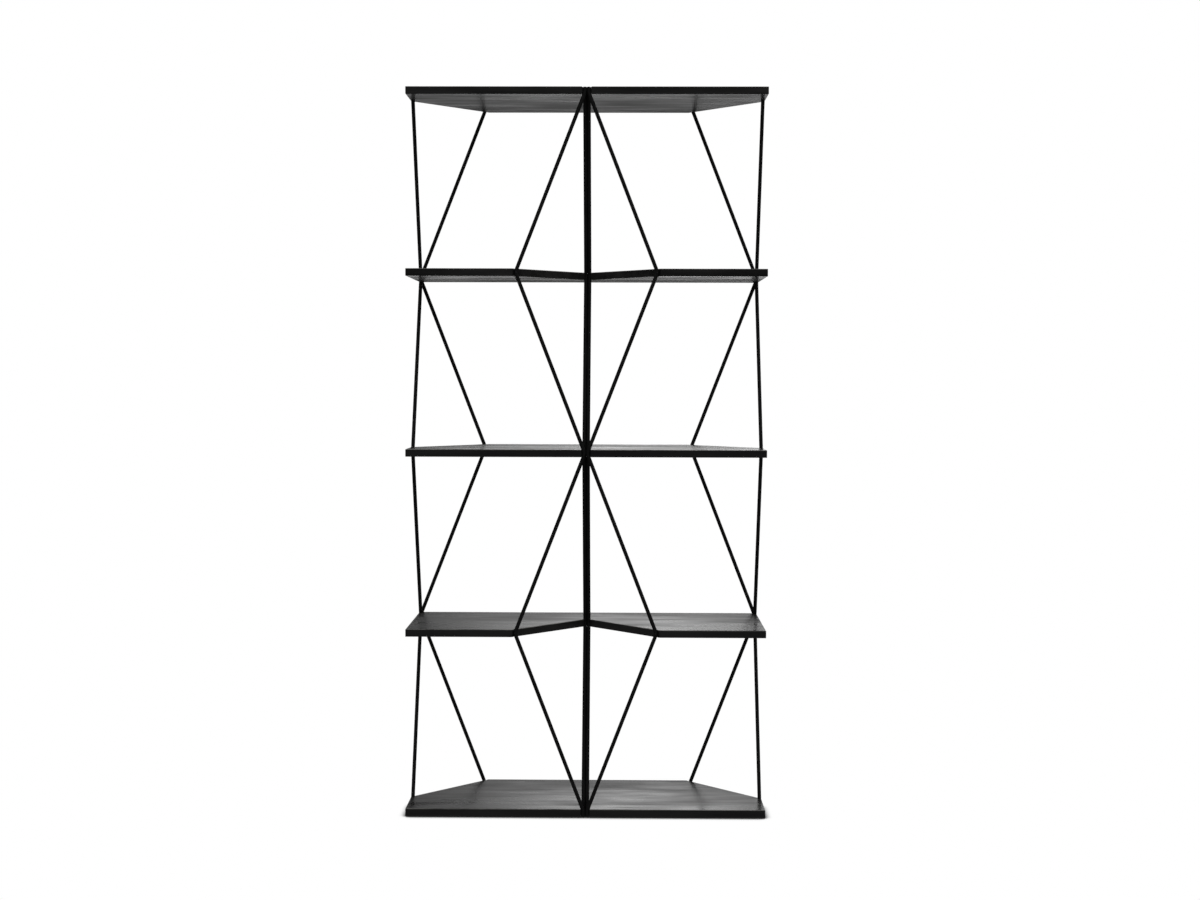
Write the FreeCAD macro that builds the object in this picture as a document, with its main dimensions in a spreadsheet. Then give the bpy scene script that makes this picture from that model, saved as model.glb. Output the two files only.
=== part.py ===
import FreeCAD, Part
import math
import os
import re

import Sketcher
from FreeCAD import Rotation, Vector

# Zigzag bookcase: two mirrored modules of five shelves, held by rods that zigzag from level to level.
# All lengths are millimetres. X runs along the width, the front faces -Y and Z is up. The origin is on the floor,
# in the middle of the width and of the depth.

LEVELS = 5
SIDES = {"left": -1, "right": 1}

# Driving sizes
SIZES = {
    "shelf_width": 450,
    "shelf_depth": 300,
    "shelf_thickness": 19,
    "shelf_arris": 1.5,
    "level_pitch": 450,
    "module_seam": 0.1,
    "rod_diameter": 9.5,
    "rod_lean": 170,
    "rod_bend_radius": 26,
    "rod_end_recess": 0.8,
    "rod_end_chamfer": 0.6,
    "rod_gap": 0.3,
    "screw_diameter": 3.5,
    "screw_length": 40,
    "screw_point": 1.4,
    "screw_head_diameter": 5.6,
    "screw_head_height": 1.8,
    "screw_head_sink": 1.2,
    "screw_gap": 0.15,
    "weld_radius_share": 0.245,
    "weld_gap": 0.05,
    "dowel_diameter": 8,
    "dowel_length": 40,
    "dowel_setback": 50,
    "dowel_gap": 0.1,
    "pad_diameter": 20,
    "pad_thickness": 2,
    "pad_inset": 25,
    "cut_overrun": 5,
}

# Sizes that follow from the driving ones
FORMULAS = {
    "rod_radius": "=rod_diameter / 2",
    "bend_span": "=rod_lean - 2 * rod_bend_radius",
    "lean_angle": "=atan(bend_span / level_pitch) + asin(2 * rod_bend_radius / sqrt(bend_span ^ 2 + level_pitch ^ 2))",
    "bend_rise": "=min(shelf_thickness / 2; rod_bend_radius * sin(lean_angle))",
    "bend_drift": "=rod_bend_radius - sqrt(rod_bend_radius ^ 2 - bend_rise ^ 2)"
                  " + (shelf_thickness / 2 - bend_rise) * tan(lean_angle)",
    "slot_back": "=rod_radius + rod_gap",
    "slot_reach": "=rod_radius / cos(lean_angle) + bend_drift + rod_gap",
    "slot_floor": "=rod_diameter + rod_gap",
    "rod_pair_step": "=rod_diameter + rod_gap",
    "rod_pair_inset": "=rod_radius + rod_pair_step",
    "corner_cut": "=rod_pair_inset + rod_lean",
    "rod_stub": "=shelf_thickness / 2 - rod_end_recess",
    "rod_height": "=%d * level_pitch + 2 * rod_stub" % (LEVELS - 1),
    "screw_seat": "=screw_head_sink + screw_head_height",
    "screw_reach": "=screw_seat + screw_length",
    "screw_bore_depth": "=screw_reach + screw_gap",
    "screw_bore_diameter": "=screw_diameter + 2 * screw_gap",
    "screw_head_bore": "=screw_head_diameter + 2 * screw_gap",
    "weld_radius": "=weld_radius_share * rod_radius",
    "weld_length": "=2 * (rod_stub - rod_end_chamfer)",
    "weld_offset": "=sqrt((rod_radius + weld_radius + weld_gap) ^ 2 - (rod_pair_step / 2) ^ 2)",
    "dowel_place": "=shelf_depth / 2 - dowel_setback",
    "dowel_bore_diameter": "=dowel_diameter + 2 * dowel_gap",
    "dowel_bore_depth": "=(dowel_length - module_seam) / 2 + dowel_gap",
    "module_centre": "=(shelf_width + module_seam) / 2",
    "inner_side": "=module_seam / 2",
    "outer_side": "=module_seam / 2 + shelf_width",
    "front_edge": "=-shelf_depth / 2",
    "back_edge": "=shelf_depth / 2",
    "first_level": "=pad_thickness + shelf_thickness / 2",
}

doc = FreeCAD.newDocument("zigzag_bookcase")
sheet = doc.addObject("Spreadsheet::Sheet", "sizes")
for row, (alias, content) in enumerate([*SIZES.items(), *FORMULAS.items()], start=1):
    sheet.set(f"A{row}", alias)
    sheet.set(f"B{row}", str(content))
    sheet.setAlias(f"B{row}", alias)
doc.recompute()

parts = []


def value(text):
    """Present value of a formula in the sheet's names."""
    return float(sheet.evalExpression(text))


def bound(text):
    """The same formula as other objects write it, with the sheet's name before each of its names."""
    return re.sub("[a-z][a-z_]+", lambda name: "sizes." + name.group(), text)


def new_body(label, x="0", y="0", z="0", rotation=Rotation()):
    """An empty body with its label and place; it is listed as a part of the bookcase."""
    body = doc.addObject("PartDesign::Body", label)
    body.Label = label
    body.Placement.Rotation = rotation
    for axis, text in (("x", x), ("y", y), ("z", z)):
        body.setExpression("Placement.Base." + axis, bound(text))
    parts.append(body)
    return body


def new_sketch(body, name, role, offset="0"):
    """A sketch on one of the body's own planes, moved along the plane's normal by a formula."""
    plane = [feature for feature in body.Origin.OriginFeatures if feature.Role == role][0]
    sketch = body.newObject("Sketcher::SketchObject", body.Label + "_" + name)
    sketch.AttachmentSupport = [(plane, "")]
    sketch.MapMode = "FlatFace"
    sketch.setExpression("AttachmentOffset.Base.z", bound(offset))
    return sketch


def hold(sketch, kind, *where, text):
    """Add a sketch dimension that reads its value from the sheet."""
    index = sketch.addConstraint(Sketcher.Constraint(kind, *where, value(text)))
    sketch.setExpression(f"Constraints[{index}]", bound(text))


def hold_point(sketch, geometry, point, x, y):
    """Fix a point of the sketch by its distances from the origin."""
    hold(sketch, "DistanceX", -1, 1, geometry, point, text=x)
    hold(sketch, "DistanceY", -1, 1, geometry, point, text=y)


def draw_outline(sketch, corners):
    """A closed outline of straight lines through the corners, each an (x, y) pair of formulas."""
    points = [Vector(value(x), value(y), 0) for x, y in corners]
    lines = []
    for start, end in zip(points, points[1:] + points[:1]):
        lines.append(sketch.addGeometry(Part.LineSegment(start, end), False))
    for line, following in zip(lines, lines[1:] + lines[:1]):
        sketch.addConstraint(Sketcher.Constraint("Coincident", line, 2, following, 1))
    for line, (x, y) in zip(lines, corners):
        hold_point(sketch, line, 1, x, y)


def draw_circle(sketch, x, y, diameter):
    centre = Vector(value(x), value(y), 0)
    circle = sketch.addGeometry(Part.Circle(centre, Vector(0, 0, 1), value(diameter) / 2), False)
    hold_point(sketch, circle, 3, x, y)
    hold(sketch, "Diameter", circle, text=diameter)


def add_pad(body, sketch, length, symmetric=False):
    pad = body.newObject("PartDesign::Pad", sketch.Name + "_pad")
    pad.Profile = sketch
    pad.setExpression("Length", bound(length))
    pad.SideType = "Symmetric" if symmetric else "One side"
    doc.recompute()
    return pad


def add_pocket(body, sketch, length, reverse=False):
    """Cut the sketch into the body, against the normal of its plane unless reversed."""
    before = body.Shape.Volume
    pocket = body.newObject("PartDesign::Pocket", sketch.Name + "_cut")
    pocket.Profile = sketch
    pocket.setExpression("Length", bound(length))
    pocket.Reversed = reverse
    doc.recompute()
    if body.Shape.Volume >= before:
        raise RuntimeError(f"{sketch.Name} cuts nothing")
    return pocket


def edge_names(shape, wanted):
    return [f"Edge{n}" for n, edge in enumerate(shape.Edges, start=1) if wanted(edge)]


def level_height(level):
    """Height of the middle of a shelf; level 0 is the bottom one."""
    return f"first_level + {level} * level_pitch"


def build_shelf(label, side, level):
    """One shelf, drawn about its own middle with the uncut rod corner at low x and y.

    The same board serves every level: half a turn about Z, Y or X brings it to the place it has in its module.
    Even levels have the cut corner at the outer back, odd levels have it at the inner front.
    """
    turned = level % 2 == 1
    if side > 0:
        axis, angle = Vector(0, 0, 1), 180 if turned else 0
    else:
        axis, angle = Vector(1, 0, 0) if turned else Vector(0, 1, 0), 180
    body = new_body(label, f"{side} * module_centre", "0", level_height(level), Rotation(axis, angle))

    board = new_sketch(body, "board", "XY_Plane")
    draw_outline(board, [
        ("-shelf_width / 2", "-shelf_depth / 2"),
        ("shelf_width / 2", "-shelf_depth / 2"),
        ("shelf_width / 2", "shelf_depth / 2 - corner_cut"),
        ("shelf_width / 2 - corner_cut", "shelf_depth / 2"),
        ("-shelf_width / 2", "shelf_depth / 2"),
    ])
    pad = add_pad(body, board, "shelf_thickness", symmetric=True)

    arris = body.newObject("PartDesign::Fillet", label + "_arris")
    flat = edge_names(pad.Shape, lambda edge: edge.BoundBox.ZLength < value("shelf_arris"))
    arris.Base = (pad, flat)
    arris.setExpression("Radius", bound("shelf_arris"))
    doc.recompute()

    # Notches: the corner that takes two rods, then the two ends of the slanted edge with one rod each
    notches = new_sketch(body, "notches", "XY_Plane", "shelf_thickness / 2 + cut_overrun")
    low_x, low_y = "-shelf_width / 2", "-shelf_depth / 2"
    draw_outline(notches, [
        (low_x + " - cut_overrun", low_y + " - cut_overrun"),
        (low_x + " + rod_radius + slot_reach", low_y + " - cut_overrun"),
        (low_x + " + rod_radius + slot_reach", low_y + " + slot_floor"),
        (low_x + " + slot_floor", low_y + " + slot_floor"),
        (low_x + " + slot_floor", low_y + " + rod_pair_inset + slot_reach"),
        (low_x + " - cut_overrun", low_y + " + rod_pair_inset + slot_reach"),
    ])
    side_rod, back_rod = "shelf_depth / 2 - corner_cut", "shelf_width / 2 - rod_radius - rod_lean"
    draw_outline(notches, [
        ("shelf_width / 2 - slot_floor", side_rod + " - slot_back"),
        ("shelf_width / 2 + cut_overrun", side_rod + " - slot_back"),
        ("shelf_width / 2 + cut_overrun", side_rod + " + slot_reach"),
        ("shelf_width / 2 - slot_floor", side_rod + " + slot_reach"),
    ])
    draw_outline(notches, [
        (back_rod + " - slot_back", "shelf_depth / 2 - slot_floor"),
        (back_rod + " + slot_reach", "shelf_depth / 2 - slot_floor"),
        (back_rod + " + slot_reach", "shelf_depth / 2 + cut_overrun"),
        (back_rod + " - slot_back", "shelf_depth / 2 + cut_overrun"),
    ])
    add_pocket(body, notches, "shelf_thickness + 2 * cut_overrun")

    # Screw bores in the edges, each drawn at its blind end and cut outwards
    corner_bore = new_sketch(body, "corner_bore", "YZ_Plane", "-shelf_width / 2 + screw_bore_depth")
    draw_circle(corner_bore, low_y + " + rod_pair_inset", "0", "screw_bore_diameter")
    add_pocket(body, corner_bore, "screw_bore_depth + cut_overrun")
    side_bore = new_sketch(body, "side_bore", "YZ_Plane", "shelf_width / 2 - screw_bore_depth")
    draw_circle(side_bore, side_rod, "0", "screw_bore_diameter")
    add_pocket(body, side_bore, "screw_bore_depth + cut_overrun", reverse=True)
    back_bore = new_sketch(body, "back_bore", "XZ_Plane", "screw_bore_depth - shelf_depth / 2")
    draw_circle(back_bore, back_rod, "0", "screw_bore_diameter")
    add_pocket(body, back_bore, "screw_bore_depth + cut_overrun")

    # The dowel bore lies in the edge that meets the other module
    if turned:
        dowel_bore = new_sketch(body, "dowel_bore", "YZ_Plane", "shelf_width / 2 - dowel_bore_depth")
        draw_circle(dowel_bore, "-dowel_place", "0", "dowel_bore_diameter")
    else:
        dowel_bore = new_sketch(body, "dowel_bore", "YZ_Plane", "-shelf_width / 2 + dowel_bore_depth")
        draw_circle(dowel_bore, "dowel_place", "0", "dowel_bore_diameter")
    add_pocket(body, dowel_bore, "dowel_bore_depth + cut_overrun", reverse=turned)


def bend_place(level):
    """Where the rod's axis crosses a level, in the rod's own zigzag plane."""
    return ("rod_lean" if level % 2 else "0", f"rod_stub + {level} * level_pitch")


def draw_zigzag(sketch):
    """The rod's axis: an upright stub, straight leaning runs joined by round bends, and a stub again."""
    radius, angle = value("rod_bend_radius"), value("lean_angle")
    bends = []
    for level in range(LEVELS):
        inward = level % 2 == 1
        middle = 0 if inward else 180
        first = middle if level == LEVELS - 1 else middle - angle
        last = middle if level == 0 else middle + angle
        x = "rod_lean - rod_bend_radius" if inward else "rod_bend_radius"
        y = bend_place(level)[1]
        circle = Part.Circle(Vector(value(x), value(y), 0), Vector(0, 0, 1), radius)
        arc = Part.ArcOfCircle(circle, math.radians(first), math.radians(last))
        bend = sketch.addGeometry(arc, False)
        bends.append((bend, inward, x, y))

    # A bend's lower and upper ends: an arc that opens to low x starts at its lower end
    low_end = [1 if inward else 2 for _, inward, _, _ in bends]
    high_end = [2 if inward else 1 for _, inward, _, _ in bends]
    foot, head = Vector(0, 0, 0), Vector(0, value("rod_height"), 0)
    stops = [foot]
    for (bend, *_), low, high in zip(bends, low_end, high_end):
        stops += [sketch.getPoint(bend, low), sketch.getPoint(bend, high)]
    stops.append(head)
    runs = []
    for start, end in zip(stops[::2], stops[1::2]):
        runs.append(sketch.addGeometry(Part.LineSegment(start, end), False))

    for index, (bend, *_) in enumerate(bends):
        sketch.addConstraint(Sketcher.Constraint("Tangent", runs[index], 2, bend, low_end[index]))
        sketch.addConstraint(Sketcher.Constraint("Tangent", bend, high_end[index], runs[index + 1], 1))
    for bend, _, x, y in bends:
        hold(sketch, "Radius", bend, text="rod_bend_radius")
        hold_point(sketch, bend, 3, x, y)
    hold_point(sketch, runs[0], 1, "0", "0")
    hold_point(sketch, runs[-1], 2, "0", "rod_height")


def build_rod(label, x, y, along, outward, drilled):
    """One zigzag rod and the screws that hold it to the shelf edges.

    The rod zigzags along one direction and its screw heads face outward. Some rods stand on their other end for
    that, which is the same rod, because it is alike from both ends.
    """
    inward = outward.negative()
    up = along.cross(inward)
    rotation = Rotation(along, inward, up, "XYZ")
    level = level_height(0) if up.z > 0 else level_height(LEVELS - 1)
    foot = f"{level} {'-' if up.z > 0 else '+'} rod_stub"
    body = new_body(label, x, y, foot, rotation)

    path = new_sketch(body, "axis", "XZ_Plane")
    draw_zigzag(path)
    section = new_sketch(body, "section", "XY_Plane")
    draw_circle(section, "0", "0", "rod_diameter")
    doc.recompute()
    bar = body.newObject("PartDesign::AdditivePipe", label + "_bar")
    bar.Profile = section
    bar.Spine = (path, edge_names(path.Shape, lambda edge: True))
    doc.recompute()
    ends = body.newObject("PartDesign::Chamfer", label + "_ends")
    foot_edge = edge_names(bar.Shape, lambda edge: edge.BoundBox.ZMax < value("rod_end_chamfer"))
    head_edge = edge_names(bar.Shape, lambda edge: edge.BoundBox.ZMin > value("rod_height - rod_end_chamfer"))
    ends.Base = (bar, foot_edge + head_edge)
    ends.setExpression("Size", bound("rod_end_chamfer"))
    doc.recompute()

    holes = new_sketch(body, "holes", "XZ_Plane", "rod_radius + cut_overrun")
    seats = new_sketch(body, "seats", "XZ_Plane", "rod_radius")
    for level in drilled:
        draw_circle(holes, *bend_place(level), "screw_bore_diameter")
        draw_circle(seats, *bend_place(level), "screw_head_bore")
    add_pocket(body, holes, "rod_diameter + 2 * cut_overrun")
    add_pocket(body, seats, "screw_seat")

    screws = new_body(label + "_screws", x, y, foot, rotation)
    shanks = new_sketch(screws, "shanks", "XZ_Plane", "rod_radius - screw_reach")
    heads = new_sketch(screws, "heads", "XZ_Plane", "rod_radius - screw_seat")
    for level in drilled:
        draw_circle(shanks, *bend_place(level), "screw_diameter")
        draw_circle(heads, *bend_place(level), "screw_head_diameter")
    shank = add_pad(screws, shanks, "screw_length")
    points = screws.newObject("PartDesign::Chamfer", label + "_points")
    blunt = value("screw_reach - rod_radius - screw_point")
    points.Base = (shank, edge_names(shank.Shape, lambda edge: edge.BoundBox.YMin > blunt))
    points.setExpression("Size", bound("screw_point"))
    doc.recompute()
    add_pad(screws, heads, "screw_head_height")


def build_welds(label, x, y, first, count):
    """Short weld beads in the groove between two rods that meet, at every second level."""
    body = new_body(label, x, y, level_height(first))
    bead = new_sketch(body, "bead", "XY_Plane")
    draw_circle(bead, "0", "0", "2 * weld_radius")
    pad = add_pad(body, bead, "weld_length", symmetric=True)
    upright = [feature for feature in body.Origin.OriginFeatures if feature.Role == "Z_Axis"][0]
    row = body.newObject("PartDesign::LinearPattern", label + "_row")
    row.Originals = [pad]
    row.Direction = (upright, [""])
    row.setExpression("Length", bound(f"{2 * (count - 1)} * level_pitch"))
    row.Occurrences = count
    body.Tip = row
    doc.recompute()


def build_pads(label, side):
    """Felt pads under a bottom shelf, set in from its straight edges."""
    body = new_body(label)
    pads = new_sketch(body, "pads", "XY_Plane")
    inner, outer = f"{side} * (inner_side + pad_inset)", f"{side} * (outer_side - pad_inset)"
    beside_cut = f"{side} * (outer_side - corner_cut - pad_inset)"
    front, back = "front_edge + pad_inset", "back_edge - pad_inset"
    for x, y in ((inner, front), (outer, front), (inner, back), (beside_cut, back)):
        draw_circle(pads, x, y, "pad_diameter")
    add_pad(body, pads, "pad_thickness")


def build_dowels(label):
    """Dowels across the seam, one between the two shelves of each level."""
    body = new_body(label)
    dowels = new_sketch(body, "dowels", "YZ_Plane")
    for level in range(LEVELS):
        draw_circle(dowels, "dowel_place", level_height(level), "dowel_diameter")
    add_pad(body, dowels, "dowel_length", symmetric=True)


def build_module(name, side):
    """One half of the bookcase: shelves, four zigzag rods with their screws, welds and pads."""
    for level in range(LEVELS):
        build_shelf(f"{name}_shelf_{level + 1}", side, level)

    sideways, backwards = Vector(side, 0, 0), Vector(0, 1, 0)
    inner_x = f"{side} * (inner_side + rod_radius)"
    outer_x = f"{side} * (outer_side - rod_radius)"
    slant_x = f"{side} * (outer_side - rod_radius - rod_lean)"
    every_level, low_levels, high_levels = range(LEVELS), range(0, LEVELS, 2), range(1, LEVELS, 2)
    build_rod(f"{name}_front_rod", inner_x, "front_edge + rod_radius",
              sideways, backwards.negative(), high_levels)
    build_rod(f"{name}_inner_rod", inner_x, "front_edge + rod_pair_inset",
              backwards, sideways.negative(), every_level)
    build_rod(f"{name}_back_rod", slant_x, "back_edge - rod_radius",
              sideways, backwards, low_levels)
    build_rod(f"{name}_side_rod", outer_x, "back_edge - corner_cut",
              backwards, sideways, every_level)

    half_step = "rod_radius + rod_pair_step / 2"
    build_welds(f"{name}_front_welds", f"{side} * (inner_side + rod_radius - weld_offset)",
                "front_edge + " + half_step, 0, len(low_levels))
    build_welds(f"{name}_back_welds", f"{side} * (outer_side - rod_radius + weld_offset)",
                f"back_edge - ({half_step})", 1, len(high_levels))
    build_pads(f"{name}_floor_pads", side)


for module, direction in SIDES.items():
    build_module(module, direction)
build_dowels("joining_dowels")
doc.recompute()

for item in doc.Objects:
    if {"Invalid", "Error"} & set(item.State):
        raise RuntimeError(f"{item.Name} failed: {item.State}")
for part in parts:
    if part.Shape.isNull() or not part.Shape.isValid():
        raise RuntimeError(f"{part.Label} has no valid shape")

os.makedirs("parts", exist_ok=True)
for part in parts:
    part.Shape.exportStep(f"parts/{part.Label}.step")
    print(part.Label, len(part.Shape.Solids), "solids", round(part.Shape.Volume), "mm3")
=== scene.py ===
# %% [markdown]
# A zigzag bookcase in black
#
# The bookcase is two mirrored modules that stand side by side. Each has five boards with one corner cut
# off, turned half a turn from level to level, and four slim steel rods that zigzag up through all of them.
# Boards and rods come from the CAD model with their real shape, so this lesson keeps them and works on what
# they are made of. The small things that a plain solid only stands in for are modelled here: screws, weld
# beads, felt glides and dowels.

# %% Load the bookcase
import bpy
import bmesh
import math
import random
from mathutils import Matrix, Vector


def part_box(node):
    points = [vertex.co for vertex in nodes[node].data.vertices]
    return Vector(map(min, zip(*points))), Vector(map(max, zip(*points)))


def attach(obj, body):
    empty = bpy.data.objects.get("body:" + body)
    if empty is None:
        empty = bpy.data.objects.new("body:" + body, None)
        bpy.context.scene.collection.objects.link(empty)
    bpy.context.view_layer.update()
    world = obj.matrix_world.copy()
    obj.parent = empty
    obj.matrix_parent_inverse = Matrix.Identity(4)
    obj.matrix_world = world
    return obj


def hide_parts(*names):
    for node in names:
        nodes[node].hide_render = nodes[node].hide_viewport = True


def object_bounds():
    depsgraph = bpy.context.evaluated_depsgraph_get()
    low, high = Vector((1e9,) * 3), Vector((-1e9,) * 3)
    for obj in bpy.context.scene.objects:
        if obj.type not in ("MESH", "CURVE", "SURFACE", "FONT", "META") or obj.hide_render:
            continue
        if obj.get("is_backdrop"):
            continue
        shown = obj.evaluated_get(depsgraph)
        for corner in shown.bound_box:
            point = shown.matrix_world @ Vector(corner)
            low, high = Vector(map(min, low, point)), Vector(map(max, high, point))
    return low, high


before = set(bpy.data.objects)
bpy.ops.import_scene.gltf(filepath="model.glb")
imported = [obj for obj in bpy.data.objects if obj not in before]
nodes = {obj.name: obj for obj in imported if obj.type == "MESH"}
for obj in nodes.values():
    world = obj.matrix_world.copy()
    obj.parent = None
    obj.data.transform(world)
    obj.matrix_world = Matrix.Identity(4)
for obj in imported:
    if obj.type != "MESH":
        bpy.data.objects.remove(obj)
cad_low, cad_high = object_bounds()
scene = bpy.context.scene
print(len(nodes), "CAD pieces, metres:", [round(high - low, 4) for low, high in zip(cad_low, cad_high)])

# %% [markdown]
# The camera
#
# The picture is taken from straight in front. The lens is a little above the middle of the bookcase, a
# hand's width to the right of it, and looks down by little more than a degree. If it looked down further,
# the uprights would lean together, so the rest of the way down is a small shift of the frame, as a view
# camera does it. The numbers come from fitting the corners of the boards to the picture. Angles are in
# degrees.

# %% Place the camera
PICTURE_WIDTH, PICTURE_HEIGHT = 1200, 900
LENS_PIXELS, AXIS_ROW = 1652.0, 410.0
SENSOR = 36.0
CAMERA_PLACE = (0.0773, -4.2545, 1.117)
TURN_LEFT, LOOK_DOWN, ROLL = 0.596, 1.356, 0.155
LEVEL = 90

camera_data = bpy.data.cameras.new("camera")
camera_data.sensor_fit = "HORIZONTAL"
camera_data.sensor_width = SENSOR
camera_data.lens = SENSOR * LENS_PIXELS / PICTURE_WIDTH
camera_data.shift_y = (AXIS_ROW - PICTURE_HEIGHT / 2) / PICTURE_WIDTH
camera = bpy.data.objects.new("camera", camera_data)
scene.collection.objects.link(camera)
aside = Matrix.Rotation(math.radians(TURN_LEFT), 4, "Z")
down = Matrix.Rotation(math.radians(LEVEL - LOOK_DOWN), 4, "X")
roll = Matrix.Rotation(math.radians(ROLL), 4, "Z")
camera.matrix_world = Matrix.Translation(CAMERA_PLACE) @ aside @ down @ roll
scene.camera = camera
print("lens of", round(camera_data.lens, 1), "mm, frame shifted by", round(camera_data.shift_y, 3))

# %% [markdown]
# Nodes in few lines
#
# A material in Blender is a small network of nodes. To keep each recipe readable, one helper adds a node,
# sets its options and inputs by name, and plugs in what the name is given when that is another node's
# output. The sums that come up again and again get a short name each.

# %% Helpers that add nodes
def set_inputs(tree, node, **inputs):
    """Set or plug inputs. An underscore in a name stands for a space, and in0 is the first input."""
    for name, content in inputs.items():
        key = int(name[2:]) if name[:2] == "in" and name[2:].isdigit() else name.replace("_", " ")
        if isinstance(content, bpy.types.NodeSocket):
            tree.links.new(content, node.inputs[key])
        else:
            node.inputs[key].default_value = content


def add_node(tree, kind, options=None, **inputs):
    """Add a node and set its options and inputs."""
    node = tree.nodes.new("ShaderNode" + kind)
    for option, setting in (options or {}).items():
        setattr(node, option, setting)
    set_inputs(tree, node, **inputs)
    return node


def new_finish(name):
    """An empty material, its network and its shader, ready for a recipe."""
    material = bpy.data.materials.new(name)
    material.use_nodes = True
    return material, material.node_tree, material.node_tree.nodes["Principled BSDF"]


print("helpers for nodes ready")

# %% Helpers for sums
def calc(tree, operation, *terms):
    """The result of a sum with one or two terms."""
    numbered = {f"in{index}": term for index, term in enumerate(terms)}
    return add_node(tree, "Math", {"operation": operation}, **numbered).outputs[0]


def spread(tree, value, start=0.0, end=1.0, low=0.0, high=1.0, soft=False):
    """Map the stretch from start to end onto low to high, in a straight line or in a soft S."""
    curve = "SMOOTHSTEP" if soft else "LINEAR"
    return add_node(tree, "MapRange", {"interpolation_type": curve}, Value=value,
                    From_Min=start, From_Max=end, To_Min=low, To_Max=high).outputs[0]


def mix(tree, share, first, second):
    """A number that goes from first to second as the share goes from 0 to 1."""
    return add_node(tree, "Mix", {"data_type": "FLOAT"}, Factor=share, in2=first, in3=second).outputs[0]


def split(tree, vector):
    """The X, Y and Z of a vector."""
    return add_node(tree, "SeparateXYZ", Vector=vector).outputs


def object_place(tree):
    """The place on the object, in metres."""
    return add_node(tree, "TexCoord").outputs["Object"]


def kinds_of_rays(tree):
    """1 for rays from the camera, and 1 for rays from the camera, from a glossy surface or through glass."""
    rays = add_node(tree, "LightPath").outputs
    mirrored = calc(tree, "MAXIMUM", rays["Is Glossy Ray"], rays["Is Transmission Ray"])
    return rays["Is Camera Ray"], calc(tree, "MAXIMUM", rays["Is Camera Ray"], mirrored)


print("helpers for sums ready")

# %% [markdown]
# Floor
#
# The bookcase stands on a white ground that runs into a white background without a line. A lit floor would
# turn grey with distance, so the eye sees a floor of an even white. What is left of the shadow is the dark
# line right where the board meets the floor. Ambient occlusion gives just that: it measures how much of the
# sky is blocked within a few centimetres. Glossy boards see a floor that is dim near the bookcase and
# bright far behind it.

# %% Lay the floor
SHADOW_REACH = 0.026
FLOOR_HALF = 30.0

floor_white, tree, shader = new_finish("floor_white")
set_inputs(tree, shader, Base_Color=(0.6, 0.6, 0.6, 1), Roughness=0.9, Specular_IOR_Level=0.0)
from_camera, seen = kinds_of_rays(tree)
open_sky = add_node(tree, "AmbientOcclusion", {"samples": 16}, Distance=SHADOW_REACH).outputs["AO"]
shadow = spread(tree, open_sky, start=0.45, end=0.93, low=0.01, high=1.0, soft=True)
far_floor = spread(tree, split(tree, object_place(tree))["Y"], start=12.0, end=22.0, low=0.24, high=1.4)
glow = add_node(tree, "Emission", Strength=mix(tree, from_camera, far_floor, shadow))
surface = add_node(tree, "MixShader", in0=seen, in1=shader.outputs[0], in2=glow.outputs[0])
set_inputs(tree, tree.nodes["Material Output"], Surface=surface.outputs[0])

floor_mesh = bpy.data.meshes.new("floor")
bm = bmesh.new()
bmesh.ops.create_grid(bm, x_segments=1, y_segments=1, size=FLOOR_HALF)
bm.to_mesh(floor_mesh)
bm.free()
floor_mesh.materials.append(floor_white)
floor = bpy.data.objects.new("floor", floor_mesh)
scene.collection.objects.link(floor)
floor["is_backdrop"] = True
print("floor laid, shadow reaches", SHADOW_REACH, "m")

# %% [markdown]
# World and lamps
#
# Black things show what they reflect. The camera sees pure white behind the bookcase. The boards, seen at a
# flat angle, mirror a backdrop that is bright along the horizon, more so on the right, with one soft spot
# of light above it, just right of the middle. A plain white backdrop would give every board the same even
# grey. The front edges and the rods face the other walls of the studio, which are dim below and paler
# towards the ceiling, and so they stay black. Two large softboxes add plain light from above the camera.
# They light, but are kept out of the reflections, as lamps behind a diffuser would be.

# %% Shape the backdrop that the boards mirror
SPOT_ASIDE = 0.02

world = bpy.data.worlds.new("studio")
scene.world = world
world.use_nodes = True
tree = world.node_tree
direction = split(tree, add_node(tree, "TexCoord").outputs["Generated"])
across, inward, upward = direction["X"], direction["Y"], direction["Z"]
brighter_right = spread(tree, across, start=-0.15, end=-0.01, low=0.45, high=1.45, soft=True)
horizon = spread(tree, upward, start=0.04, end=0.12, low=1.8, high=0.09)
backdrop = calc(tree, "MULTIPLY", brighter_right, horizon)
beside_spot = calc(tree, "ABSOLUTE", calc(tree, "SUBTRACT", across, SPOT_ASIDE))
spot = spread(tree, beside_spot, start=0.0, end=0.13, low=2.9, high=0.0, soft=True)
right_half = spread(tree, across, start=0.01, end=0.09, low=1.0, high=0.6, soft=True)
above_horizon = spread(tree, upward, start=0.12, end=0.28, soft=True)
hot_spot = calc(tree, "MULTIPLY", calc(tree, "MULTIPLY", spot, right_half), above_horizon)
behind = calc(tree, "ADD", backdrop, hot_spot)
print("backdrop shaped, spot at", SPOT_ASIDE)

# %% Light the studio
WHITE, EVEN_LIGHT = 1.0, 0.55
LAMP_AIM = Vector((0, 0, 0.9))

walls = spread(tree, upward, start=0.1, end=0.45, low=0.06, high=0.9, soft=True)
to_back = spread(tree, inward, start=0.6, end=0.9, soft=True)
mirrored = mix(tree, to_back, walls, behind)
from_camera, seen = kinds_of_rays(tree)
level = mix(tree, seen, EVEN_LIGHT, mix(tree, from_camera, mirrored, WHITE))
set_inputs(tree, tree.nodes["Background"], Color=(1, 1, 1, 1), Strength=level)


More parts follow.
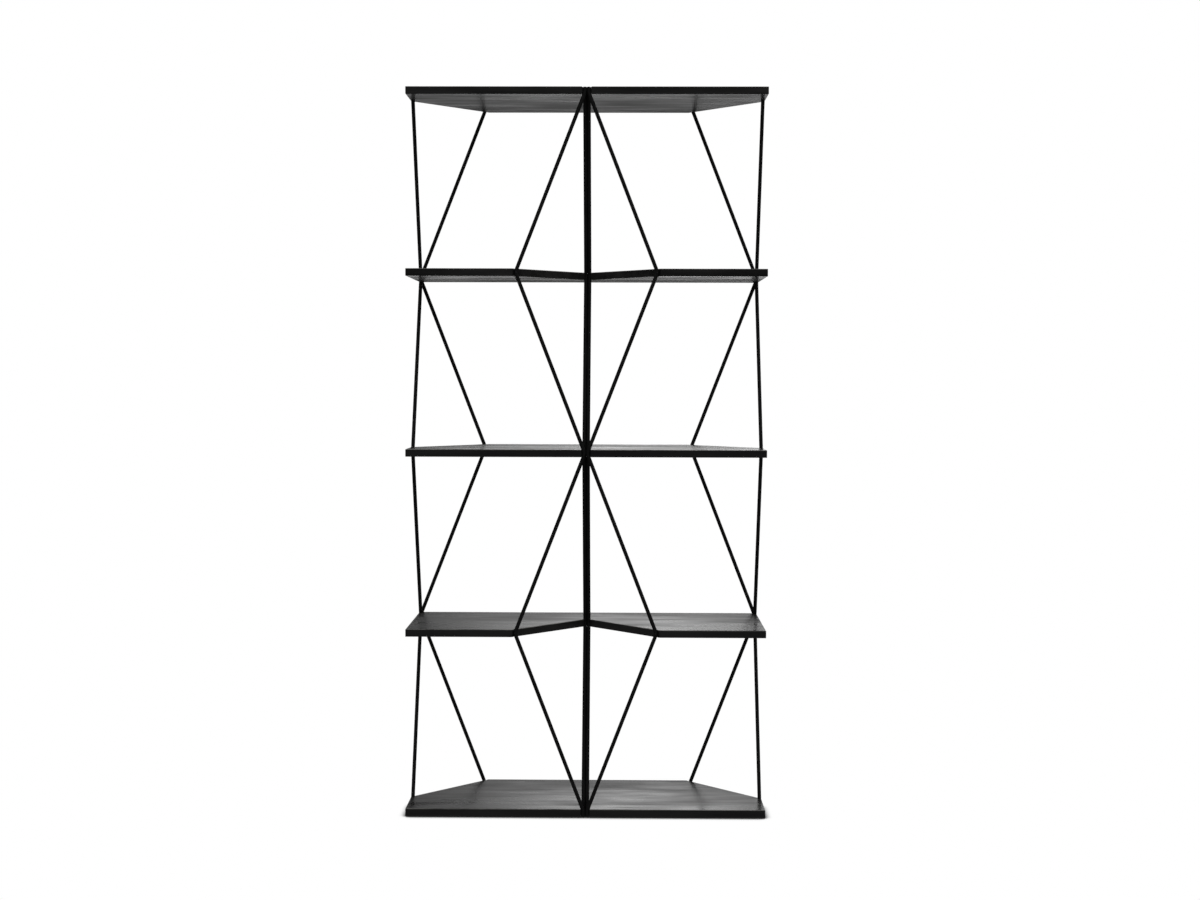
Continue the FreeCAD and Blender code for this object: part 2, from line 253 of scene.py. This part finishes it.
def hang_softbox(name, place, size, watts):
    """A square soft lamp that looks at the middle of the bookcase."""
    data = bpy.data.lights.new(name, "AREA")
    data.size = size
    data.energy = watts
    lamp = bpy.data.objects.new(name, data)
    lamp.location = place
    lamp.rotation_euler = (LAMP_AIM - lamp.location).to_track_quat("-Z", "Y").to_euler()
    lamp.visible_camera = False
    lamp.visible_glossy = False
    scene.collection.objects.link(lamp)


hang_softbox("key_softbox", place=(2.6, -2.4, 3.4), size=2.4, watts=80)
hang_softbox("fill_softbox", place=(-3.0, -2.6, 2.4), size=2.0, watts=30)
print("studio lit by the world and", len(bpy.data.lights), "softboxes")

# %% [markdown]
# Black-stained wood
#
# The boards are wood, stained black and rubbed with a satin finish. Grain still shows as faint streaks and
# lines along the length. Wood is solid all through, so its pattern is a solid one too: noise in space,
# stretched along the board. On the faces it gives streaks, on the short ends it gives the dots of end
# grain, with nothing else to do. The left and the right boards take different slices of it.

# %% Helpers for noise and colour
def noise(tree, waves, detail, **more):
    """Solid noise with so many waves per metre along each axis. W, where given, picks a slice of it."""
    options = {"noise_dimensions": "4D" if "W" in more else "3D"}
    place = add_node(tree, "Mapping", Vector=object_place(tree), Scale=waves).outputs[0]
    return add_node(tree, "TexNoise", options, Vector=place, Scale=1.0, Detail=detail, **more).outputs["Fac"]


def ramp(tree, factor, stops):
    """A colour ramp through (position, colour) stops."""
    node = add_node(tree, "ValToRGB", Fac=factor)
    elements = node.color_ramp.elements
    for index, (position, colour) in enumerate(stops):
        element = elements[index] if index < 2 else elements.new(position)
        element.position = position
        element.color = (*colour, 1)
    return node.outputs["Color"]


def mix_colour(tree, share, first, second):
    """A colour that goes from first to second as the share goes from 0 to 1."""
    return add_node(tree, "Mix", {"data_type": "RGBA"}, Factor=share, in6=first, in7=second).outputs[2]


def relief(tree, height, strength, distance):
    """A bump of that height pattern, ready for a shader's Normal."""
    return add_node(tree, "Bump", Strength=strength, Distance=distance, Height=height).outputs[0]


print("helpers for noise and colour ready")

# %% Draw the grain
STREAK_WAVES, LINE_WAVES = (4.5, 44, 44), (2.2, 150, 150)
PORE_WAVES, CLOUD_WAVES = (16, 620, 620), (3.5, 15, 15)

stain, tree, shader = new_finish("black_stained_wood")
place = split(tree, object_place(tree))
which_module = calc(tree, "SIGN", place["X"])
streaks = noise(tree, STREAK_WAVES, 4.0, W=which_module, Roughness=0.6)
grain_lines = noise(tree, LINE_WAVES, 3.0, W=which_module, Roughness=0.6, Distortion=0.4)
pores = noise(tree, PORE_WAVES, 2.0, W=which_module, Roughness=0.55)
clouds = noise(tree, CLOUD_WAVES, 3.0, W=which_module)
print("streaks about", round(1000 / STREAK_WAVES[1]), "mm wide, pores", round(1000 / PORE_WAVES[1], 1), "mm")

# %% [markdown]
# Wear and painted highlight on the arrises
#
# The stain is thinner where hands and books rub, on the rounded upper arrises, and their pale colour is also
# a painted highlight, the bright line that the upper edges catch from the light above. Those are the places
# where a face points neither straight up nor level, so the normal finds them. A patchy noise breaks the pale
# line up. The arrises at the seam of the two modules are left out and stay black.

# %% Find the rubbed arrises and their painted highlight
SHELTERED, REACHED = 0.004, 0.012
WAVES_OF_WEAR_AND_HIGHLIGHT = (9, 14, 14)

upward = split(tree, add_node(tree, "NewGeometry").outputs["Normal"])["Z"]
slant = calc(tree, "MINIMUM", upward, calc(tree, "SUBTRACT", 1.0, upward))
on_arris = spread(tree, slant, start=0.05, end=0.3)
from_seam = spread(tree, calc(tree, "ABSOLUTE", place["X"]), start=SHELTERED, end=REACHED)
patches = spread(tree, noise(tree, WAVES_OF_WEAR_AND_HIGHLIGHT, 3.0), start=0.26, end=0.56)
# This mask marks wear and a painted highlight: it paints the upper arrises pale, as if lit from above.
wear_and_highlight = calc(tree, "MULTIPLY", patches, calc(tree, "MULTIPLY", on_arris, from_seam))
print("wear starts", 1000 * REACHED, "mm from the seam")

# %% [markdown]
# Colour and gloss of the stain
#
# The cut edges drink more stain than the faces and dry blacker. The gloss comes from rubbing: it changes in
# streaks and in clouds, and it is higher along the front, where hands reach, than at the back. One
# roughness for the whole board would look like plastic sheet.

# %% Mix the stain
EDGE_DARK, EDGE_PALE = (0.0022, 0.0022, 0.0023), (0.007, 0.0069, 0.0067)
FACE_DARK, FACE_PALE = (0.0034, 0.0034, 0.0035), (0.02, 0.0197, 0.019)
# The pale arris colour below is part wear and part a painted highlight of the light on the upper edges.
WORN_AND_HIGHLIGHT = (0.13, 0.127, 0.12, 1)
SATIN, DULL = 0.2, 0.46
FRONT, BACK = cad_low[1], cad_high[1]

on_face = spread(tree, calc(tree, "ABSOLUTE", upward), start=0.6, end=0.95)
edge_black = ramp(tree, streaks, [(0.32, EDGE_DARK), (0.68, EDGE_PALE)])
face_black = ramp(tree, mix(tree, 0.6, streaks, grain_lines), [(0.36, FACE_DARK), (0.64, FACE_PALE)])
# Paints the pale arris colour, part wear and part painted highlight, over the stain.
colour = mix_colour(tree, wear_and_highlight, mix_colour(tree, on_face, edge_black, face_black), WORN_AND_HIGHLIGHT)
less_handled = spread(tree, place["Y"], start=FRONT, end=BACK, low=-0.06, high=0.12)
rubbed = calc(tree, "ADD", mix(tree, 0.5, streaks, clouds), less_handled)
gloss = spread(tree, rubbed, start=0.36, end=0.64, low=SATIN, high=DULL)
bump = relief(tree, mix(tree, 0.35, streaks, pores), strength=0.15, distance=0.0003)
set_inputs(tree, shader, Base_Color=colour, Roughness=gloss, Normal=bump, IOR=1.34)
print("stain mixed, roughness from", SATIN, "to", DULL)

# %% [markdown]
# Powder-coated steel
#
# The rods are bent steel bar with a black powder coat. A powder coat melts into a skin with a fine orange
# peel, a bit under a millimetre from bump to bump, and it is duller than paint. A single roughness would
# look like plastic, so broad noise varies it a little along the bar.

# %% Coat the rods
PEEL_WAVES, HANDLING_WAVES = (1300, 1300, 1300), (28, 28, 11)
COAT_DARK, COAT_PALE = (0.0018, 0.0018, 0.0018), (0.0048, 0.0048, 0.0049)

powder, tree, shader = new_finish("black_powder_coat")
peel = noise(tree, PEEL_WAVES, 1.0)
handling = noise(tree, HANDLING_WAVES, 3.0)
coat = ramp(tree, handling, [(0.35, COAT_DARK), (0.7, COAT_PALE)])
dullness = spread(tree, handling, start=0.3, end=0.7, low=0.62, high=0.78)
bump = relief(tree, peel, strength=0.2, distance=0.00004)
set_inputs(tree, shader, Base_Color=coat, Roughness=dullness, Normal=bump, Specular_IOR_Level=0.12)
print("powder coat ready, orange peel of", round(1000 / PEEL_WAVES[0], 2), "mm")

# %% [markdown]
# Paint the CAD pieces
#
# Boards and rods keep their CAD shape. Each node has material slots, and putting a finish into them is all
# it takes.

# %% Dress boards and rods
def dress(name, finish):
    """Give every slot of a CAD node this finish."""
    for slot in nodes[name].material_slots:
        slot.material = finish


boards = [name for name in nodes if "_shelf_" in name]
rods = [name for name in nodes if name.endswith("_rod")]
for name in boards:
    dress(name, stain)
for name in rods:
    dress(name, powder)
print(len(boards), "boards stained,", len(rods), "rods coated")

# %% [markdown]
# Where the small pieces are
#
# A CAD node can hold several solids, such as the five screws of a rod. A new piece has to sit exactly where
# its solid sits, so the place is measured and not typed in: a merged copy of the node's mesh falls apart
# into islands, and the box around each island says where one solid is.

# %% Measure the solids in a node
MERGE_SOLIDS = 0.00001


def solid_boxes(name):
    """The lowest and highest corner of each separate solid in a CAD node."""
    bm = bmesh.new()
    bm.from_mesh(nodes[name].data)
    bmesh.ops.remove_doubles(bm, verts=bm.verts, dist=MERGE_SOLIDS)
    waiting = set(bm.verts)
    boxes = []
    while waiting:
        island = [waiting.pop()]
        for vert in island:
            for edge in vert.link_edges:
                other = edge.other_vert(vert)
                if other in waiting:
                    waiting.remove(other)
                    island.append(other)
        low = [min(vert.co[axis] for vert in island) for axis in range(3)]
        high = [max(vert.co[axis] for vert in island) for axis in range(3)]
        boxes.append((low, high))
    bm.free()
    boxes.sort(key=lambda box: [round(value, 4) for value in box[0][::-1]])
    return [(Vector(low), Vector(high)) for low, high in boxes]


for name in ("left_inner_rod_screws", "left_front_welds", "left_floor_pads", "joining_dowels"):
    print(name, len(solid_boxes(name)), "solids")

# %% [markdown]
# Turning shapes
#
# Screws, glides, dowels and weld beads are round, so they can be turned like on a lathe: a few points of
# the outline, joined by edges, spun once about the axis. Every turned shape is closed, because its outline
# starts and ends on the axis.

# %% A lathe and a place for new pieces
MERGE_TURNED = 0.000001
SHARP_ANGLE = 40


def turn(bm, outline, steps):
    """Spin an outline of (radius, height) points about Z into a closed shape and return its vertices."""
    before = set(bm.verts)
    points = [bm.verts.new((radius, 0, height)) for radius, height in outline]
    edges = [bm.edges.new(pair) for pair in zip(points, points[1:])]
    bmesh.ops.spin(bm, geom=points + edges, cent=(0, 0, 0), axis=(0, 0, 1), angle=math.tau,
                   steps=steps, use_merge=True)
    made = [vert for vert in bm.verts if vert not in before]
    bmesh.ops.remove_doubles(bm, verts=made, dist=MERGE_TURNED)
    return [vert for vert in bm.verts if vert not in before]


def draw_in(vert, share):
    """Move a vertex to this share of its distance from the Z axis."""
    vert.co.x *= share
    vert.co.y *= share


def finish_piece(name, bm, finish, slot, *replaced):
    """Make a mesh object of the bmesh, with its finish, riding on the bookcase in place of any CAD nodes."""
    bmesh.ops.recalc_face_normals(bm, faces=bm.faces)
    for face in bm.faces:
        face.smooth = True
    mesh = bpy.data.meshes.new(name)
    bm.to_mesh(mesh)
    bm.free()
    mesh.set_sharp_from_angle(angle=math.radians(SHARP_ANGLE))
    mesh.materials.append(finish)
    piece = bpy.data.objects.new(name, mesh)
    scene.collection.objects.link(piece)
    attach(piece, "root")
    if replaced:
        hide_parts(*replaced)


print("lathe ready")

# %% [markdown]
# Screws
#
# Each rod is held by socket screws with a round head, which go through the bar into the edge of a board.
# The head is turned, and the ring of its socket is then pushed onto a hexagon. The thread is a small
# triangle that is spun and moved along at the same time, which makes a helix. The steel is blackened, with
# a little bright metal where the black is thin.

# %% Blacken the screw steel
MOTTLE_WAVES = (700, 700, 700)
STEEL_DARK, STEEL_MIDDLE, STEEL_BARE = (0.008, 0.008, 0.009), (0.02, 0.02, 0.021), (0.07, 0.07, 0.07)

blackened, tree, shader = new_finish("black_screw_steel")
mottle = noise(tree, MOTTLE_WAVES, 4.0)
steel = ramp(tree, mottle, [(0.35, STEEL_DARK), (0.62, STEEL_MIDDLE), (0.78, STEEL_BARE)])
polish = spread(tree, mottle, start=0.3, end=0.7, low=0.5, high=0.32)
bump = relief(tree, mottle, strength=0.2, distance=0.00004)
set_inputs(tree, shader, Base_Color=steel, Roughness=polish, Normal=bump, Metallic=0.7)
print("screw steel ready")

# %% Turn the body of a screw
HEAD_RADIUS, HEAD_HEIGHT, SOCKET_DEPTH = 0.0028, 0.0018, 0.0011
HEAD_TOP_SHARE, HEAD_RIM_SHARE = 0.86, 0.97
RIM_DROP, RIM_HEIGHT = 0.0002, 0.0005
CORE_RADIUS, POINT_LENGTH = 0.0013, 0.004
HEX_CORNER, HEX_TOLERANCE = 0.0012, 0.00001
SCREW_SIDES = 24
HALF_HEX_SIDE = math.pi / 6


def turn_screw(bm, length):
    """The head, socket and core about Z: the top of the head at height 0, the point at -length."""
    body = turn(bm, [
        (0, -SOCKET_DEPTH), (HEX_CORNER, -SOCKET_DEPTH), (HEX_CORNER, 0), (HEAD_RADIUS * HEAD_TOP_SHARE, 0),
        (HEAD_RADIUS * HEAD_RIM_SHARE, -RIM_DROP), (HEAD_RADIUS, -RIM_HEIGHT), (HEAD_RADIUS, -HEAD_HEIGHT),
        (CORE_RADIUS, -HEAD_HEIGHT), (CORE_RADIUS, -length + POINT_LENGTH), (0, -length)], SCREW_SIDES)
    for vert in body:
        radius = math.hypot(vert.co.x, vert.co.y)
        if abs(radius - HEX_CORNER) < HEX_TOLERANCE and vert.co.z > -HEAD_HEIGHT:
            angle = math.atan2(vert.co.y, vert.co.x)
            from_flat = (angle + HALF_HEX_SIDE) % (2 * HALF_HEX_SIDE) - HALF_HEX_SIDE
            across = HEX_CORNER * math.cos(HALF_HEX_SIDE) / math.cos(from_flat)
            draw_in(vert, across / radius)


print("a screw's head is", 2000 * HEAD_RADIUS, "mm across")

# %% Cut the thread
THREAD_RADIUS, PITCH = 0.0017, 0.0018
PLAIN_SHANK, THREAD_TO_TIP = 0.008, 0.006
ROOT_SHARE, FLANK_SHARE = 0.9, 0.22
THREAD_STEPS = 12


def model_screw(bm, length):
    """One whole screw about Z. Returns its vertices."""
    before = set(bm.verts)
    turn_screw(bm, length)
    start = -HEAD_HEIGHT - PLAIN_SHANK
    turns = int((length - THREAD_TO_TIP + start) / PITCH)
    root, flank = CORE_RADIUS * ROOT_SHARE, PITCH * FLANK_SHARE
    corners = [(root, 0, start), (THREAD_RADIUS, 0, start - flank), (root, 0, start - 2 * flank)]
    points = [bm.verts.new(corner) for corner in corners]
    edges = [bm.edges.new(pair) for pair in zip(points, points[1:] + points[:1])]
    bmesh.ops.spin(bm, geom=points + edges, cent=(0, 0, 0), axis=(0, 0, 1), angle=math.tau * turns,
                   steps=THREAD_STEPS * turns, dvec=(0, 0, -PITCH / THREAD_STEPS))
    bmesh.ops.holes_fill(bm, edges=[edge for edge in bm.edges if edge.is_boundary], sides=3)
    return [vert for vert in bm.verts if vert not in before]


low, high = solid_boxes("left_side_rod_screws")[0]
bm = bmesh.new()
model_screw(bm, high.x - low.x)
print("one screw has", len(bm.faces), "faces, open edges:", sum(edge.is_boundary for edge in bm.edges))
bm.free()

# %% Drive the screws
def outward_of(name):
    """The direction in which a rod's screw heads look."""
    side = -1 if name.startswith("left") else 1
    kind = name.split("_")[1]
    looks = {"front": (0, -1, 0), "back": (0, 1, 0), "inner": (-side, 0, 0), "side": (side, 0, 0)}
    return Vector(looks[kind])


screw_count = 0
for name in sorted(node for node in nodes if node.endswith("_screws")):
    outward = outward_of(name)
    turn_out = Vector((0, 0, 1)).rotation_difference(outward).to_matrix().to_4x4()
    bm = bmesh.new()
    for low, high in solid_boxes(name):
        length = abs((high - low).dot(outward))
        top = (low + high) / 2 + outward * length / 2
        screw = model_screw(bm, length)
        bmesh.ops.transform(bm, matrix=Matrix.Translation(top) @ turn_out, verts=screw)
        screw_count += 1
    finish_piece(name + "_turned", bm, blackened, "black_screw_steel", name)
print(screw_count, "screws driven")

# %% [markdown]
# Weld beads
#
# Where two rods of a module meet, a short weld joins them before they are coated. A bead is a row of small
# overlapping drops. Turned on the lathe, that is an outline that swells and narrows again and again, and it
# gets the same powder coat as the rods.

# %% Lay the weld beads
DROPS, BEAD_SIDES = 7, 14
WAIST_SHARE = 0.84

for name in sorted(node for node in nodes if node.endswith("_welds")):
    bm = bmesh.new()
    for low, high in solid_boxes(name):
        radius, length = (high.x - low.x) / 2, high.z - low.z
        step = length / (2 * DROPS)
        outline = [(0, -length / 2)]
        for ring in range(1, 2 * DROPS):
            swell = 1.0 if ring % 2 else WAIST_SHARE
            outline.append((radius * swell, -length / 2 + ring * step))
        outline.append((0, length / 2))
        bead = turn(bm, outline, BEAD_SIDES)
        bmesh.ops.translate(bm, vec=(low + high) / 2, verts=bead)
    finish_piece(name + "_rippled", bm, powder, "black_powder_coat", name)
print("weld beads laid with", DROPS, "drops each")

# %% [markdown]
# Coat between the inner rods
#
# The inner rods of the two modules run side by side, skin on skin. The CAD model leaves a tenth of a
# millimetre between them, so that the modules stay two parts, and light would shine through that slit. A
# slim strip of coat closes it. Each strip is a cube, stretched and leant as the rods lean, from the top of
# one board to the underside of the next, and its edges are rounded. The lean follows from the bends: a
# straight run touches the bend below it and the bend above it.

# %% Close the slit
BEND_RADIUS, STRIP_WIDTH = 0.026, 0.003
STRIP_ROUNDING, ROUNDING_STEPS = 0.00003, 2

rod_low, rod_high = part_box("left_inner_rod")
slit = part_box("right_inner_rod")[0][0] - rod_high[0]
left_boards = sorted(name for name in boards if name.startswith("left"))
levels = [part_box(name) for name in left_boards]
pitch = levels[1][0][2] - levels[0][0][2]
rod_thickness = rod_high[0] - rod_low[0]
bend_span = rod_high[1] - rod_low[1] - rod_thickness - 2 * BEND_RADIUS
lean = math.atan(bend_span / pitch) + math.asin(2 * BEND_RADIUS / math.hypot(bend_span, pitch))


def finish_strips(name, bm, finish, slot):
    """Round the edges of thin strips and make a piece of them."""
    bmesh.ops.bevel(bm, geom=bm.edges[:], offset=STRIP_ROUNDING, affect="EDGES", segments=ROUNDING_STEPS,
                    profile=0.5, material=-1)
    finish_piece(name, bm, finish, slot)


bm = bmesh.new()
for bay, (below, above) in enumerate(zip(levels, levels[1:])):
    foot, head = below[1][2], above[0][2]
    middle = Vector((rod_high[0] + slit / 2, (rod_low[1] + rod_high[1]) / 2, (foot + head) / 2))
    leant = Matrix.Rotation(lean if bay % 2 else -lean, 4, "X")
    stretch = Matrix.Diagonal((slit, STRIP_WIDTH, (head - foot) / math.cos(lean), 1))
    bmesh.ops.create_cube(bm, size=1.0, matrix=Matrix.Translation(middle) @ leant @ stretch)
finish_strips("inner_rods_coat_strips", bm, powder, "black_powder_coat")
print("slit of", round(1000 * slit, 2), "mm closed, rods lean", round(math.degrees(lean), 1), "degrees")

# %% [markdown]
# Stain in the seam of the boards
#
# The boards of the two modules meet in a seam with the same slit. On a real bookcase it is a dark hairline.
# A thin strip, stained like the boards, lies in it just below the arrises, above the dowel. Its length is
# that of the inner edge of the board, which is shorter on the levels that have their cut corner at the
# inner front.

# %% Close the seam between the boards
SEAM_BELOW_TOP, SEAM_HEIGHT, SEAM_FROM_ENDS = 0.002, 0.003, 0.002

bm = bmesh.new()
for name, (low, high) in zip(left_boards, levels):
    inner_edge = [vert.co.y for vert in nodes[name].data.vertices if vert.co.x > high[0] - slit]
    length = max(inner_edge) - min(inner_edge) - 2 * SEAM_FROM_ENDS
    seam_height = high[2] - SEAM_BELOW_TOP - SEAM_HEIGHT / 2
    middle = Vector((high[0] + slit / 2, (min(inner_edge) + max(inner_edge)) / 2, seam_height))
    stretch = Matrix.Diagonal((slit, length, SEAM_HEIGHT, 1))
    bmesh.ops.create_cube(bm, size=1.0, matrix=Matrix.Translation(middle) @ stretch)
    print(name, "has a seam of", round(1000 * length), "mm")
finish_strips("board_seam_strips", bm, stain, "black_stained_wood")

# %% [markdown]
# Felt glides
#
# The bottom boards stand on round felt glides, two millimetres thick. Felt has no hard edge, so the turned
# disc is rounded at its rims and its outline is a bit uneven. The finish is fibres: very fine noise for
# colour and bump, with some sheen from the loose ends.

# %% Press the felt
FIBRE_WAVES = (1900, 1900, 2600)
WOOL_DARK, WOOL_PALE = (0.008, 0.008, 0.008), (0.03, 0.03, 0.031)

felt, tree, shader = new_finish("felt")
fibres = noise(tree, FIBRE_WAVES, 3.0, Distortion=1.5)
wool = ramp(tree, fibres, [(0.3, WOOL_DARK), (0.7, WOOL_PALE)])
fuzz = spread(tree, fibres, low=0.85, high=1.0)
bump = relief(tree, fibres, strength=0.6, distance=0.0003)
set_inputs(tree, shader, Base_Color=wool, Roughness=fuzz, Normal=bump, Sheen_Weight=0.25)
print("felt pressed")

# %% Cut the glides
GLIDE_SIDES, ROUGH_CUT_SHARE = 40, 0.015
RIM_SHARES = [(0.95, 0.0), (0.99, 0.15), (1.0, 0.5), (0.99, 0.85), (0.95, 1.0)]

rough_cut = random.Random(7)
for name in ("left_floor_pads", "right_floor_pads"):
    bm = bmesh.new()
    for low, high in solid_boxes(name):
        radius, height = (high.x - low.x) / 2, high.z - low.z
        rim = [(radius * out, height * up) for out, up in RIM_SHARES]
        glide = turn(bm, [(0, 0), *rim, (0, height)], GLIDE_SIDES)
        for vert in glide:
            draw_in(vert, 1 - ROUGH_CUT_SHARE * rough_cut.random())
        bmesh.ops.translate(bm, vec=((low.x + high.x) / 2, (low.y + high.y) / 2, low.z), verts=glide)
    finish_piece(name + "_felt", bm, felt, "felt", name)
print("eight felt glides cut")

# %% [markdown]
# Dowels
#
# At every level one beech dowel lines up the two boards across the seam. Real dowels are fluted, so that
# air and glue can get out, and chamfered, so that they find their hole. The dowel is turned with many
# sides, and every second line of vertices is pushed in for a flute.

# %% Plane the beech
FLECK_WAVES = (90, 1500, 1500)
BEECH_DARK, BEECH_MIDDLE, BEECH_PALE = (0.36, 0.22, 0.12), (0.52, 0.35, 0.21), (0.6, 0.43, 0.28)

beech, tree, shader = new_finish("dowel_wood")
flecks = noise(tree, FLECK_WAVES, 3.0)
wood = ramp(tree, flecks, [(0.3, BEECH_DARK), (0.6, BEECH_MIDDLE), (0.8, BEECH_PALE)])
sawn = spread(tree, flecks, low=0.5, high=0.75)
bump = relief(tree, flecks, strength=0.3, distance=0.0001)
set_inputs(tree, shader, Base_Color=wood, Roughness=sawn, Normal=bump)
print("beech ready")

# %% Cut the dowels
FLUTES, FLUTE_DEPTH, DOWEL_CHAMFER = 20, 0.00035, 0.0012
NOSE_SHARE, FLUTED_SHARE = 0.75, 0.9

lay_across = Matrix.Rotation(math.radians(90), 4, "Y")
bm = bmesh.new()
for low, high in solid_boxes("joining_dowels"):
    radius, half = (high.z - low.z) / 2, (high.x - low.x) / 2
    nose, shoulder = radius * NOSE_SHARE, half - DOWEL_CHAMFER
    outline = [(0, -half), (nose, -half), (radius, -shoulder), (radius, shoulder), (nose, half), (0, half)]
    dowel = turn(bm, outline, 2 * FLUTES)
    for vert in dowel:
        line = round(math.atan2(vert.co.y, vert.co.x) / (math.pi / FLUTES))
        if line % 2 and math.hypot(vert.co.x, vert.co.y) > radius * FLUTED_SHARE:
            draw_in(vert, 1 - FLUTE_DEPTH / radius)
    bmesh.ops.transform(bm, matrix=Matrix.Translation((low + high) / 2) @ lay_across, verts=dowel)
finish_piece("fluted_dowels", bm, beech, "dowel_wood", "joining_dowels")
print("five dowels with", FLUTES, "flutes")

# %% [markdown]
# Last checks
#
# The dressed bookcase must have the size of the CAD model, so both boxes are written down. The picture is
# shown with the Standard view, in which a colour comes out as it was mixed.

# %% Write the sizes and finish
scene.view_settings.view_transform = "Standard"
low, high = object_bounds()
print("size of the finished bookcase:", [round(b - a, 4) for a, b in zip(low, high)])
